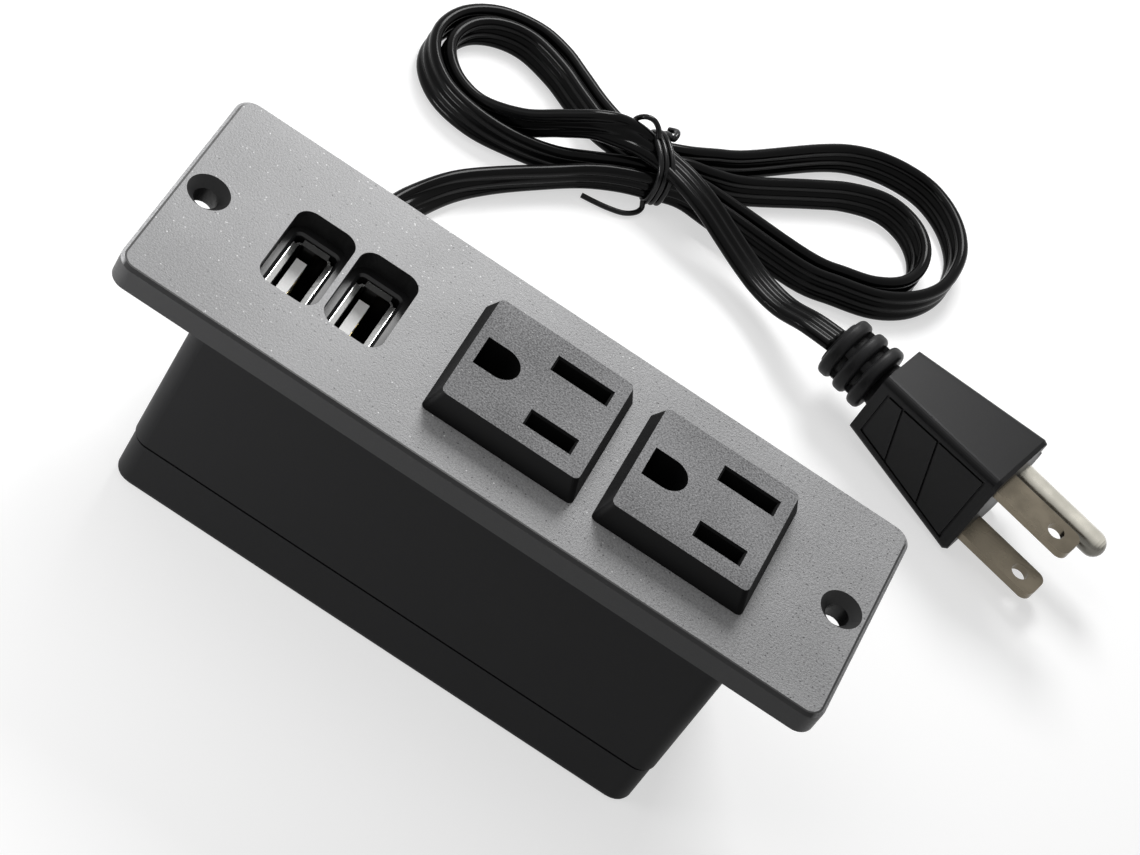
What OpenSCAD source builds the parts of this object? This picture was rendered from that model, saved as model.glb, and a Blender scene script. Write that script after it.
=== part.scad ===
// Recessed power strip: two grounded outlets and two USB charging ports in a
// face plate, a box below it that sinks into a desk top, and a flat supply
// cord tied in a bow with a three-pin plug on its end.
// The strip stands on its back cover: z = 0 is the cover's underside, +Z leaves
// the face plate, +X runs from the USB ports to the outlets and the cord leaves
// the +Y wall.

/* [Face plate] */
// Length of the face plate over its ends
plate_len = 124.8; // [122:0.1:135]
// Width of the face plate
plate_wid = 44.2; // [43:0.1:52]
// Thickness of the face plate
plate_thk = 4.6; // [3.6:0.1:6]
// Corner radius of the face plate
plate_corner_r = 3; // [1:0.1:5]
// Bevel that runs round the plate's top edge
plate_bevel = 0.5; // [0.2:0.1:1]
// Distance between the two mounting holes
mount_spacing = 115; // [112:0.1:117]
// Diameter of a mounting hole
mount_hole_d = 4; // [3:0.1:4.6]
// Diameter of a mounting hole's countersink
mount_sink_d = 7.1; // [5.5:0.1:8]

/* [Box] */
// Length of the box below the plate
box_len = 96; // [95:0.1:104]
// Width of the box below the plate
box_wid = 40.8; // [39.5:0.1:42.5]
// Height from the back cover's underside to the top of the face plate
total_height = 44; // [43:0.1:56]
// Height of the seam between the upper housing and the back cover
seam_z = 10.4; // [9.5:0.1:11.5]
// Wall thickness of the housing and the cover
wall = 2; // [1.4:0.1:2.4]
// Thickness of the back cover's floor
floor_thk = 2; // [1.4:0.1:2.4]
// How far the back cover stands inside the upper housing's outside
cover_inset = 0.2; // [0.2:0.1:0.9]
// Radius of the box's upright corners
box_corner_r = 3; // [2:0.1:4]
// Radius of the back cover's bottom edge
cover_edge_r = 1.2; // [1:0.1:4]

/* [Outlets] */
// Distance between the slot centres of the two outlets
outlet_pitch = 30.4; // [29.5:0.1:32]
// Slot centre of the first outlet, measured from the plate's middle
outlet_first_x = 5.5; // [5:0.1:7]
// Length of an outlet block's face
block_len = 24.4; // [23.4:0.1:25]
// Width of an outlet block's face
block_wid = 23.4; // [22:0.1:26]
// How far an outlet block stands above the face plate
block_rise = 4; // [2:0.1:6]
// How far each side of an outlet block spreads from its face to the plate
block_draft = 1.3; // [0.4:0.1:1.6]
// How far an outlet block's middle lies from its slots, towards the ground hole
block_offset = 5; // [4.6:0.1:5.4]
// Distance between the two blade slots
blade_spacing = 12.7; // [12.6:0.05:12.8]
// Distance from the blade slots' middle to the ground hole's middle
ground_offset = 11.9; // [11.8:0.05:12]
// Length of the long slot, for the neutral blade
long_slot_len = 9.6; // [8.2:0.1:10]
// Length of the short slot, for the live blade
short_slot_len = 7.9; // [6.8:0.1:8.2]
// Width of both slots
slot_wid = 2.9; // [2.2:0.1:3.2]
// Bevel round the mouth of a slot
slot_bevel = 0.35; // [0.2:0.05:0.5]
// Diameter of the ground hole's round side
ground_hole_d = 6.4; // [5.4:0.1:6.8]

/* [USB ports] */
// Distance between the two USB windows
usb_pitch = 11.5; // [11.3:0.1:13]
// Middle of the pair of USB windows, measured towards the plate's end
usb_middle_x = 33.8; // [33:0.1:34.5]
// Length of a USB window along the plate
window_len = 10.5; // [9.5:0.1:10.6]
// Width of a USB window across the plate
window_wid = 17.7; // [15.5:0.1:20]
// Corner radius of a USB window
window_corner_r = 2.7; // [1:0.1:3.5]
// Depth of the USB shells' mouths below the plate's top
usb_mouth_depth = 4.4; // [4.3:0.1:5]
// Outside thickness of a USB shell
shell_thk = 6.2; // [6:0.1:6.8]
// Outside width of a USB shell
shell_wid = 13.2; // [12.8:0.1:14]
// Sheet thickness of a USB shell
shell_sheet = 0.4; // [0.3:0.05:0.6]
// How far the flared mouth of a USB shell stands outside the shell
flare_wid = 0.5; // [0.3:0.05:0.6]
// Thickness of the bezel behind the USB windows
bezel_thk = 1.6; // [1.2:0.1:2]

/* [Contacts] */
// Sheet thickness of the brass bars and leaves
brass_thk = 0.6; // [0.4:0.05:0.8]
// Gap between a pair of leaves where they grip a blade
grip_gap = 1.1; // [0.8:0.1:1.4]
// Height of the leaves above their bar
leaf_height = 13; // [11:0.1:13.4]
// Length of a pair of leaves along the plate
leaf_len = 7.6; // [6:0.1:8]
// Inside diameter of the ground pin's sleeve
sleeve_d = 4.7; // [4.5:0.1:5]

/* [Supply cord and plug] */
// Width of the flat cord
cord_wid = 6; // [5:0.1:6.4]
// Thickness of the flat cord
cord_thk = 2.2; // [1.8:0.1:2.3]
// Where the cord leaves the box, measured from its middle towards the USB end
cord_exit_x = 35; // [33:0.1:35]
// Length of the boot where the cord leaves the box
boot_len = 20; // [12:0.5:20]
// Length of the plug's grip
grip_len = 27; // [24:0.1:30]
// Height of the plug's grip as it lies
grip_height = 20.6; // [19.6:0.1:20.6]
// Length of a plug blade outside the grip
blade_len = 15.9; // [15:0.1:17]
// Width of a plug blade
blade_wid = 6.35; // [6:0.05:6.6]
// Thickness of a plug blade
blade_thk = 1.5; // [1.3:0.1:1.6]
// Length of the ground pin outside the grip
pin_len = 19.5; // [18:0.1:21]
// Diameter of the ground pin
pin_d = 4.8; // [4.4:0.1:4.9]

/* [Hidden] */

$fn = 48;
eps = 0.01;
seat_gap = 0.1;             // running clearance between pieces that slide together

// Levels
plate_bottom = total_height - plate_thk;
face_top = total_height + block_rise;
seat_z = plate_bottom + 0.8;         // floor of the recess that seats the box in the plate
base_top = seat_z;                   // top of the contact base, against the plate
bar_z = base_top - 17.8;             // seat of the busbars in the contact base
base_bottom = bar_z - 2.4;           // underside of the contact base
board_top = total_height - 20.4;     // top of the charger's circuit board
board_thk = 1.6;
board_bottom = board_top - board_thk;

// Places along the plate
outlet_x = [outlet_first_x, outlet_first_x + outlet_pitch];
block_x = [for (x = outlet_x) x - block_offset];
ground_x = [for (x = outlet_x) x - ground_offset];
usb_x = [-usb_middle_x - usb_pitch / 2, -usb_middle_x + usb_pitch / 2];
blade_y = blade_spacing / 2;

// Box
cover_len = box_len - 2 * cover_inset;
cover_wid = box_wid - 2 * cover_inset;
inner_len = cover_len - 2 * wall;
inner_wid = cover_wid - 2 * wall;
inner_corner_r = 1;
boss_d = 5.4;                        // pillars and bosses of the case screws
boss_x = inner_len / 2 - boss_d / 2 - 2 * seat_gap;
boss_y = inner_wid / 2 - boss_d / 2 - 2 * seat_gap;
case_screw_d = 2.6;
case_head_d = 5;
case_head_depth = 2.2;
boss_foot_d = case_head_d + 2.6;
boss_foot_top = case_head_depth + 1.2;
case_screw_len = 34;
cover_boss_top = 9;
rib_x = [-26, -9, 8, 25];            // ribs on the back cover's floor
rib_wid = 1.2;
rib_height = 1.2;

// Contact base
neck_len = block_len - 1;            // neck of an outlet block, through the plate
neck_wid = block_wid - 2.4;
neck_corner_r = 1;
base_x0 = block_x[0] - neck_len / 2 - 5.2;
base_x1 = block_x[1] + neck_len / 2 + 1;
base_wid = 24;
channel_wid = 5.7;
bar_wid = 4.6;
sleeve_wall = 0.5;
sleeve_pocket_d = 6.1;
base_screw_at = [[base_x0 + 2.4, 0], [(block_x[0] + block_x[1]) / 2, 10.5],
    [(block_x[0] + block_x[1]) / 2, -10.5]];
base_screw_d = 2.4;
base_screw_bite = 2.6;               // depth of the blind hole in the face plate
base_screw_len = base_top - base_bottom + base_screw_bite - 0.4;
lead_hole_d = 2.4;
lead_d = 1.6;
live_lead_x = base_x0 + 4;
ground_lead_x = ground_x[0] + 6.4;

// Circuit board
board_x0 = -inner_len / 2 + 0.4;
board_x1 = base_x0 - 0.6;
board_wid = 34;
ledge_wid = 3;
screw_pad_wid = 3.4;
ledge_thk = 2;
board_screw_x = board_x0 + 14.3;
board_screw_y = board_wid / 2 - 2.2;

// USB bezel, with the stakes that hold it
bezel_rim = 0.8;
bezel_bevel = 0.4;
// Shadow gap under the seam
shadow_height = 0.6;
shadow_depth = 0.5;
mouth_gap = 0.15;                    // between a shell's mouth and the bezel
stake_d = 1.4;
stake_end = 0.4;
stake_y = window_wid / 2 + stake_d;

// Cord
gland_z = seam_z;
gland_neck_d = 7.4;
gland_collar_d = 9;
collar_thk = 2;
boot_end_d = 7.4;
boot_end_y = box_wid / 2 + collar_thk + boot_len;
half_wid = cord_wid / 2;
half_thk = cord_thk / 2;

// Tie: its middle on the floor, the run of the strands through it and its wire
tie_at = [-2.4, 104];
tie_turn = 28;
tie_wire_d = 1.1;
tie_turns = 3;
strand_pitch = 2.8;

// The cord's route from the boot to the plug: x, y, lift above the floor, and the
// roll of its broad face, 0 lying flat and 90 standing on edge
route = [
    // From the boot down to the floor
    [-35, 42.4, 9.3, 0], [-35, 47, 8.9, 0], [-35.2, 53, 5.8, 0], [-35.1, 58.4, 2.2, 10],
    [-33.7, 64.6, 0.2, 35], [-29.8, 72.6, 0.1, 60], [-24.4, 80, 0.1, 80], [-17.4, 88, 0.1, 90],
    [-11.4, 93.8, 0.6, 90],
    // First pass through the tie
    [-5.7, 97.5, 1.2, 90], [-0.4, 100.3, 1.2, 90], [5, 102.7, 1.2, 90],
    // Outer turn of the right loop
    [11.9, 103.3, 0.6, 75], [29.1, 103, 0.1, 70], [37.1, 105.1, 0.1, 70], [44.3, 107.9, 0.1, 70],
    [49.6, 112.5, 0.1, 75], [53, 118.6, 0.1, 85], [54, 125, 0.1, 90], [52.9, 131.6, 0.1, 100],
    [48.9, 137.4, 0.1, 110], [42.8, 140.9, 0.1, 115], [35.6, 140.9, 0.1, 115], [28.6, 138.2, 0.1, 110],
    [22.2, 132.8, 0.1, 105], [11.2, 119.9, 0.1, 105], [5.8, 114.8, 0.6, 100],
    // Second pass
    [0.9, 110.8, 1.2, 90], [-4.4, 107.9, 1.2, 90], [-10.2, 107.6, 1.2, 90],
    // Outer turn of the left loop
    [-15.9, 109.9, 0.6, 95], [-21.9, 113.6, 0.1, 100], [-27.1, 116.1, 0.1, 110], [-33, 117.2, 0.1, 115],
    [-40.2, 115.3, 0.1, 110], [-45.6, 110.2, 0.1, 100], [-47.6, 103.3, 0.1, 90], [-45.8, 96.4, 0.1, 75],
    [-40.6, 91.4, 0.1, 70], [-33.4, 89.6, 0.1, 75], [-25.9, 90.5, 0.1, 90], [-18.4, 93, 0.1, 90],
    [-12.2, 96.7, 0.6, 90],
    // Third pass
    [-7, 99.9, 1.2, 90], [-1.7, 102.8, 1.2, 90], [3.7, 105.3, 1.2, 90],
    // Inner turn of the right loop
    [10.9, 106, 0.6, 75], [29.4, 106, 0.1, 70], [37.1, 108, 0.1, 70], [42.5, 110.3, 0.1, 70],
    [46.6, 114.5, 0.1, 80], [48.2, 119.9, 0.1, 90], [47, 125.5, 0.1, 105], [43.2, 129.7, 0.1, 115],
    [37.2, 131, 0.1, 115], [30.6, 128.2, 0.1, 110], [24.6, 123.4, 0.1, 110], [13.4, 113.6, 0.1, 110],
    [7.8, 110.3, 0.6, 100],
    // Fourth pass
    [2.2, 108.1, 1.2, 90], [-3.1, 105.3, 1.2, 90], [-8.9, 104.7, 1.2, 90],
    // Inner turn of the left loop
    [-14.6, 106, 0.6, 95], [-20.4, 109.1, 0.1, 105], [-26.1, 112.2, 0.1, 110], [-33, 114.2, 0.1, 115],
    [-38.8, 112.8, 0.1, 110], [-43, 108.9, 0.1, 100], [-44.6, 103.3, 0.1, 90], [-43.2, 97.9, 0.1, 75],
    [-39.1, 94, 0.1, 70], [-33.4, 92.6, 0.4, 75],
    // Fifth pass, over the others
    [-26.2, 93.6, 2.6, 85], [-20, 96.3, 5.4, 85], [-14.4, 98.9, 7.4, 75], [-8.7, 101.6, 7.8, 30],
    [-2.4, 103, 7.6, 0],
    // On to the plug
    [3.6, 101.6, 7.6, 0], [9.2, 99.7, 7, 0], [14.8, 97.8, 5.5, 0], [20.2, 95.6, 4.4, 0],
    [25.4, 93.2, 4.1, 0], [30.4, 90.7, 5.2, 0], [35.5, 88.3, 7.8, 0], [41, 86.5, 9.2, 0]];

// Plug, in its own frame: u along it from the cord's end, v across it towards the
// ground pin and w upwards from its middle
plug_at = [41, 86.5, grip_height / 2];
plug_turn = -15;
relief_len = 11.5;
relief_neck_d = 8.4;
relief_rib_d = 12;
relief_ribs = 3;
rib_thk = 2.6;
rib_gap = 1;
web_wid = 2.2;                       // webs that join the relief's ribs
grip_u0 = relief_len;
grip_u1 = relief_len + grip_len;
grip_slope = 3;                      // rise of the grip's broad sides towards its face
grip_v0 = 6.4;                       // flat side's distance from the axis at the relief
grip_v1 = 9.4;                       // and at the face
panel_margin = 2;
panel_line = 0.45;
panel_depth = 0.35;
blade_v = -4.2;
pin_v = blade_v + ground_offset;
socket_depth = 4;
pin_root_d = pin_d - 0.4;            // the pin's root, inside the grip

// ---- Shared shapes ----

// A rectangle with round corners, centred
module round_rect(l, w, r) {
    square([l - 2 * r, w], center = true);
    square([l, w - 2 * r], center = true);
    for (sx = [-1, 1], sy = [-1, 1])
        translate([sx * (l / 2 - r), sy * (w / 2 - r)]) circle(r);
}

// The same rectangle as a slab from z0 to z1
module round_slab(l, w, r, z0, z1) {
    translate([0, 0, z0]) linear_extrude(z1 - z0) round_rect(l, w, r);
}

// A box between two corners
module block(lo, hi) {
    translate(lo) cube(hi - lo);
}

// A cross-head screw along +Z: shank from 0 to len, pan head below it
module screw(d, len, head_d, head_h) {
    translate([0, 0, -head_h / 4]) cylinder(d = d, h = len + head_h / 4);
    difference() {
        translate([0, 0, -head_h]) cylinder(d = head_d, h = head_h);
        for (a = [0, 90])
            rotate([0, 0, a]) translate([-head_d * 0.3, -head_d * 0.07, -head_h - eps])
                cube([head_d * 0.6, head_d * 0.14, head_h * 0.5]);
    }
}

// Unit vector and cross product helpers for the sweeps
function unit(v) = v / norm(v);
function tangent(p, i) = unit(p[min(i + 1, len(p) - 1)] - p[max(i - 1, 0)]);

// Outline of a flat cord: eight points round a rounded rectangle
function flat_outline(a, b) = [[a, -b / 2], [a, b / 2], [a - b / 2, b], [-a + b / 2, b],
    [-a, b / 2], [-a, -b / 2], [-a + b / 2, -b], [a - b / 2, -b]];

// Outline of a round wire with n corners
function wire_outline(r, n) = [for (i = [0 : n - 1])
    [r * cos(360 * (i + 0.5) / n), r * sin(360 * (i + 0.5) / n)]];

// Skins rings of equal size into one closed solid
module skin(rings) {
    n = len(rings[0]);
    m = len(rings);
    polyhedron(
        points = [for (ring = rings, p = ring) p],
        faces = concat(
            [[for (i = [n - 1 : -1 : 0]) i]],
            [for (k = [0 : m - 2], i = [0 : n - 1])
                let (j = (i + 1) % n, here = k * n, next = here + n)
                each [[here + i, here + j, next + j], [here + i, next + j, next + i]]],
            [[for (i = [0 : n - 1]) (m - 1) * n + i]]),
        convexity = 10);
}

// Rings of an outline along points; rolls holds the roll at each point
function sweep_rings(points, rolls, outline) = [for (i = [0 : len(points) - 1])
    let (t = tangent(points, i),
        side = unit(cross([0, 0, 1], t)),
        up = cross(t, side),
        c = cos(rolls[i]),
        s = sin(rolls[i]))
    [for (q = outline) points[i] + (q.x * c - q.y * s) * side + (q.x * s + q.y * c) * up]];

// Side direction at point i, carried along the route without twisting
function carried(p, i) = i == 0 ? [1, 0, 0]
    : let (s = carried(p, i - 1), t = tangent(p, i)) unit(s - (s * t) * t);

// A round lead along a route of points, starting across the X direction
module lead(points, d) {
    ring = wire_outline(d / 2, 8);
    skin([for (i = [0 : len(points) - 1])
        let (side = carried(points, i), up = cross(tangent(points, i), side))
        [for (q = ring) points[i] + q.x * side + q.y * up]]);
}

// ---- Face plate ----

module usb_windows() {
    for (x = usb_x)
        translate([x, 0, plate_bottom - 4])
            linear_extrude(plate_thk + 4 + eps) round_rect(window_len, window_wid, window_corner_r);
}

module face_plate() {
    color([0.47, 0.47, 0.48]) difference() {
        union() {
            difference() {
                union() {
                    round_slab(plate_len, plate_wid, plate_corner_r, plate_bottom,
                        total_height - plate_bevel);
                    hull() {
                        round_slab(plate_len, plate_wid, plate_corner_r,
                            total_height - plate_bevel - 0.05, total_height - plate_bevel);
                        round_slab(plate_len - 2 * plate_bevel, plate_wid - 2 * plate_bevel,
                            plate_corner_r - plate_bevel, total_height - 0.05, total_height);
                    }
                }
                // Recess that seats the box
                round_slab(box_len + 2 * seat_gap, box_wid + 2 * seat_gap,
                    box_corner_r + seat_gap, plate_bottom - 1, seat_z);
            }
            // Lip that drops into the upper housing
            difference() {
                round_slab(inner_len - 0.4, inner_wid - 0.4, inner_corner_r,
                    plate_bottom - 2, seat_z + eps);
                round_slab(inner_len - 3.2, inner_wid - 3.2, inner_corner_r,
                    plate_bottom - 3, seat_z);
            }
            // Stakes that hold the bezel of the USB ports
            for (sy = [-1, 1])
                translate([-usb_middle_x, sy * stake_y, seat_z - bezel_thk - stake_end])
                    cylinder(d = stake_d, h = bezel_thk + stake_end + eps);
            // Pillars that take the case screws
            for (sx = [-1, 1], sy = [-1, 1])
                translate([sx * boss_x, sy * boss_y, cover_boss_top + seat_gap])
                    cylinder(d = boss_d, h = seat_z - cover_boss_top);
        }
        for (x = block_x)
            round_slab_at(x, neck_len + 2 * seat_gap, neck_wid + 2 * seat_gap, neck_corner_r,
                plate_bottom - 3, total_height + 1);
        usb_windows();
        for (sx = [-1, 1]) translate([sx * mount_spacing / 2, 0, 0]) {
            translate([0, 0, plate_bottom - 1]) cylinder(d = mount_hole_d, h = plate_thk + 2);
            translate([0, 0, total_height - (mount_sink_d - mount_hole_d) / 2])
                cylinder(d1 = mount_hole_d, d2 = mount_sink_d + 2 * eps,
                    h = (mount_sink_d - mount_hole_d) / 2 + eps);
        }
        for (sx = [-1, 1], sy = [-1, 1])
            translate([sx * boss_x, sy * boss_y, 0])
                cylinder(d = case_screw_d, h = case_head_depth + case_screw_len + 0.5);
        for (at = base_screw_at)
            translate([at.x, at.y, seat_z - 1]) cylinder(d = base_screw_d, h = base_screw_bite + 1);
    }
}

module round_slab_at(x, l, w, r, z0, z1) {
    translate([x, 0, 0]) round_slab(l, w, r, z0, z1);
}

// ---- Outlet blocks ----

// A slot through a block, with a bevelled mouth
module slot_cut(len, wid) {
    translate([0, 0, (base_top + face_top) / 2])
        cube([len, wid, face_top - base_top + 2], center = true);
    hull() {
        translate([0, 0, face_top - slot_bevel]) cube([len, wid, eps], center = true);
        translate([0, 0, face_top + eps])
            cube([len + 2 * slot_bevel, wid + 2 * slot_bevel, eps], center = true);
    }
}

module outlet_face(n) {
    color([0.36, 0.36, 0.37]) difference() {
        union() {
            // Raised block with sloping sides, seated on the plate
            hull() {
                round_slab_at(block_x[n], block_len, block_wid, 1, face_top - 0.05, face_top);
                round_slab_at(block_x[n], block_len + 2 * block_draft,
                    block_wid + 2 * block_draft, 1, total_height, total_height + 0.05);
            }
            // Neck through the plate, down to the contact base
            round_slab_at(block_x[n], neck_len, neck_wid, neck_corner_r, base_top,
                total_height + 0.05);
        }
        translate([outlet_x[n], blade_y, 0]) slot_cut(long_slot_len, slot_wid);
        translate([outlet_x[n], -blade_y, 0]) slot_cut(short_slot_len, slot_wid);
        // Ground hole: round towards the slots, flat behind
        translate([ground_x[n], 0, base_top - 1]) {
            cylinder(d = ground_hole_d, h = face_top - base_top + 2);
            translate([-ground_hole_d / 2 - 0.5, -ground_hole_d / 2, 0])
                cube([ground_hole_d / 2 + 0.5, ground_hole_d, face_top - base_top + 2]);
        }
    }
}

// ---- Box ----

// Half-round notch of the seam where the gland's neck sits
module gland_hole() {
    translate([-cord_exit_x, box_wid / 2 + 1, gland_z]) rotate([90, 0, 0])
        cylinder(d = gland_neck_d + 2 * seat_gap, h = box_wid / 2 - inner_wid / 2 + 2);
}

module upper_housing() {
    color([0.11, 0.11, 0.12]) difference() {
        union() {
            difference() {
                round_slab(box_len, box_wid, box_corner_r, seam_z, seat_z);
                round_slab(inner_len, inner_wid, inner_corner_r, seam_z - 1, seat_z + 1);
            }
            // Ledges under the circuit board, with a pad for each of its screws
            for (side = [0, 1]) mirror([0, side, 0]) {
                block([board_x0 + 7, inner_wid / 2 - ledge_wid, board_bottom - ledge_thk],
                    [board_x1 - 3, inner_wid / 2 + eps, board_bottom]);
                block([board_screw_x - screw_pad_wid / 2, board_screw_y - screw_pad_wid / 2,
                    board_bottom - ledge_thk],
                    [board_screw_x + screw_pad_wid / 2, inner_wid / 2 + eps, board_bottom]);
            }
        }
        gland_hole();
        for (sy = [-1, 1]) translate([board_screw_x, sy * board_screw_y, board_bottom - 4])
            cylinder(d = 1.6, h = 8);
    }
}

module back_cover() {
    steps = 4;
    slice = 0.05;
    color([0.1, 0.1, 0.11]) difference() {
        union() {
            difference() {
                // Tray with a rounded bottom edge and a shadow gap under the seam
                union() {
                    hull() for (k = [0 : steps])
                        let (a = 90 * k / steps, inset = cover_edge_r * (1 - sin(a)),
                            z = cover_edge_r * (1 - cos(a)))
                        round_slab(cover_len - 2 * inset, cover_wid - 2 * inset, box_corner_r,
                            z, z + slice, $fn = 24);
                    round_slab(cover_len, cover_wid, box_corner_r, cover_edge_r,
                        seam_z - shadow_height);
                    round_slab(cover_len - 2 * shadow_depth, cover_wid - 2 * shadow_depth,
                        box_corner_r - shadow_depth, cover_edge_r, seam_z);
                }
                round_slab(inner_len, inner_wid, inner_corner_r, floor_thk, seam_z + 1);
            }
            // Screw bosses in the corners, each on a foot that holds the screw's head
            for (sx = [-1, 1], sy = [-1, 1])
                translate([sx * boss_x, sy * boss_y, floor_thk - eps]) {
                    cylinder(d = boss_d, h = cover_boss_top - floor_thk);
                    cylinder(d = boss_foot_d, h = boss_foot_top - floor_thk);
                }
            // Ribs that stiffen the floor
            for (x = rib_x)
                block([x - rib_wid / 2, -inner_wid / 2, floor_thk - eps],
                    [x + rib_wid / 2, inner_wid / 2, floor_thk + rib_height]);
        }
        gland_hole();
        for (sx = [-1, 1], sy = [-1, 1]) translate([sx * boss_x, sy * boss_y, 0]) {
            translate([0, 0, -1]) cylinder(d = case_head_d + 0.4, h = case_head_depth + 1);
            cylinder(d = case_screw_d + 0.4, h = seam_z + 1);
        }
    }
}

module case_screws() {
    color("silver") for (sx = [-1, 1], sy = [-1, 1])
        translate([sx * boss_x, sy * boss_y, case_head_depth])
            screw(case_screw_d, case_screw_len, case_head_d, 1.6);
}

// ---- Mains contacts ----

// Channel of a busbar: floor at bar_z, open at the top
module channel(x0, x1, y, wid) {
    block([x0, y - wid / 2, bar_z], [x1, y + wid / 2, base_top + 1]);
}

module contact_base() {
    color([0.16, 0.16, 0.17]) difference() {
        block([base_x0, -base_wid / 2, base_bottom], [base_x1, base_wid / 2, base_top]);
        for (sy = [-1, 1])
            channel(base_x0 + 2, base_x1 - 2, sy * blade_y, channel_wid);
        channel(ground_x[0], ground_x[1], 0, bar_wid + 0.2);
        for (x = ground_x)
            translate([x, 0, bar_z]) cylinder(d = sleeve_pocket_d, h = base_top);
        for (at = base_screw_at)
            translate([at.x, at.y, base_bottom - 1])
                cylinder(d = base_screw_d + 0.2, h = base_top - base_bottom + 2);
        // Holes for the leads
        for (sy = [-1, 1])
            translate([live_lead_x, sy * blade_y, base_bottom - 1]) cylinder(d = lead_hole_d, h = 4);
        translate([ground_lead_x, 0, base_bottom - 1]) cylinder(d = lead_hole_d, h = 4);
    }
}

module base_screws() {
    color("silver") for (at = base_screw_at)
        translate([at.x, at.y, base_bottom]) screw(base_screw_d - 0.1, base_screw_len, 4.4, 1.4);
}

// Middle line of one leaf above its bar: out from the bar, in to the grip, flared lip
leaf_line = [[2.3, 0], [2.3, 3], [1.7, 6.5], [grip_gap / 2 + brass_thk / 2, leaf_height - 3.4],
    [grip_gap / 2 + brass_thk / 2, leaf_height - 2.6], [1.9, leaf_height]];

function left_normal(p, i) = let (t = tangent(p, i)) [-t.y, t.x];
function ribbon(p, thk) = concat(
    [for (i = [0 : len(p) - 1]) p[i] + left_normal(p, i) * thk / 2],
    [for (i = [len(p) - 1 : -1 : 0]) p[i] - left_normal(p, i) * thk / 2]);

// A pair of leaves that grip a blade from both sides
module leaf_pair(len) {
    for (side = [0, 1]) mirror([0, side, 0])
        rotate([90, 0, 90]) translate([0, 0, -len / 2])
            linear_extrude(len) polygon(ribbon(leaf_line, brass_thk));
}

module busbar(y) {
    color([0.8, 0.66, 0.35]) translate([0, y, bar_z]) {
        block([base_x0 + 2.4, -bar_wid / 2, 0], [base_x1 - 2.4, bar_wid / 2, brass_thk]);
        for (x = outlet_x) translate([x, 0, brass_thk / 2]) leaf_pair(leaf_len);
    }
}

// Split sleeve that grips the round ground pin
module sleeve() {
    difference() {
        cylinder(d = sleeve_d + 2 * sleeve_wall, h = leaf_height);
        translate([0, 0, brass_thk]) cylinder(d = sleeve_d, h = leaf_height);
        for (a = [0, 90]) rotate([0, 0, a + 45])
            translate([-sleeve_d, -0.4, 4]) cube([2 * sleeve_d, 0.8, leaf_height]);
        translate([0, 0, leaf_height - 0.6])
            cylinder(d1 = sleeve_d, d2 = sleeve_d + 1, h = 0.6 + eps);
    }
}

module ground_busbar() {
    color([0.8, 0.66, 0.35]) translate([0, 0, bar_z]) {
        block([ground_x[0], -bar_wid / 2, 0], [ground_x[1], bar_wid / 2, brass_thk]);
        for (x = ground_x) translate([x, 0, 0]) sleeve();
    }
}

// ---- USB charger ----

module usb_board() {
    notch_r = boss_d / 2 + 0.4;
    color([0.05, 0.3, 0.16]) difference() {
        block([board_x0, -board_wid / 2, board_bottom], [board_x1, board_wid / 2, board_top]);
        for (side = [0, 1]) mirror([0, side, 0]) {
            block([board_x0 - 1, boss_y - notch_r, board_bottom - 1],
                [-boss_x + notch_r, board_wid / 2 + 1, board_top + 1]);
            translate([board_screw_x, board_screw_y, board_bottom - 1])
                cylinder(d = 2.2, h = board_thk + 2);
        }
    }
}

module board_screws() {
    color("silver") for (sy = [-1, 1])
        translate([board_screw_x, sy * board_screw_y, board_top])
            mirror([0, 0, 1]) screw(1.6, board_thk + ledge_thk, 3.4, 1.2);
}

// Bezel of the two ports, staked under the plate and showing black through its windows
module usb_bezel() {
    color([0.06, 0.06, 0.06]) difference() {
        union() {
            // Flange under the plate, cut short where the plate's lip runs
            intersection() {
                round_slab_at(-usb_middle_x, usb_pitch + window_len + 2 * bezel_rim,
                    2 * (stake_y + stake_d), 1, seat_z - bezel_thk, seat_z);
                round_slab(inner_len - 3.2 - 2 * seat_gap, inner_wid, inner_corner_r,
                    seat_z - bezel_thk - 1, seat_z + 1);
            }
            for (x = usb_x)
                round_slab_at(x, window_len - 2 * seat_gap, window_wid - 2 * seat_gap,
                    window_corner_r - seat_gap, seat_z - bezel_thk, seat_z);
        }
        // Openings round the shells' mouths, bevelled in front
        for (x = usb_x) {
            round_slab_at(x, mouth_thk + 2 * mouth_gap, mouth_wid + 2 * mouth_gap, 1, 0,
                total_height);
            hull() {
                round_slab_at(x, mouth_thk + 2 * mouth_gap, mouth_wid + 2 * mouth_gap, 1,
                    seat_z - bezel_bevel, seat_z - bezel_bevel + eps, $fn = 24);
                round_slab_at(x, mouth_thk + 2 * mouth_gap + 2 * bezel_bevel,
                    mouth_wid + 2 * mouth_gap + 2 * bezel_bevel, 1 + bezel_bevel, seat_z,
                    seat_z + eps, $fn = 24);
            }
        }
        for (sy = [-1, 1])
            translate([-usb_middle_x, sy * stake_y, 0])
                cylinder(d = stake_d + 2 * eps, h = total_height);
    }
}

usb_mouth_z = total_height - usb_mouth_depth;
shell_height = usb_mouth_z - board_top;
mouth_thk = shell_thk + 2 * flare_wid;
mouth_wid = shell_wid + 2 * flare_wid;
flare_height = 0.5;
flare_long = 11;                     // flared lips along the sides and the ends of a mouth
flare_short = 4.6;
tongue_thk = 1.9;
tongue_drop = 2.2;                   // the tongue ends this far below the mouth
plug_seat_thk = 2.4;                 // moulded floor of a port, which carries the tongue

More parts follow.
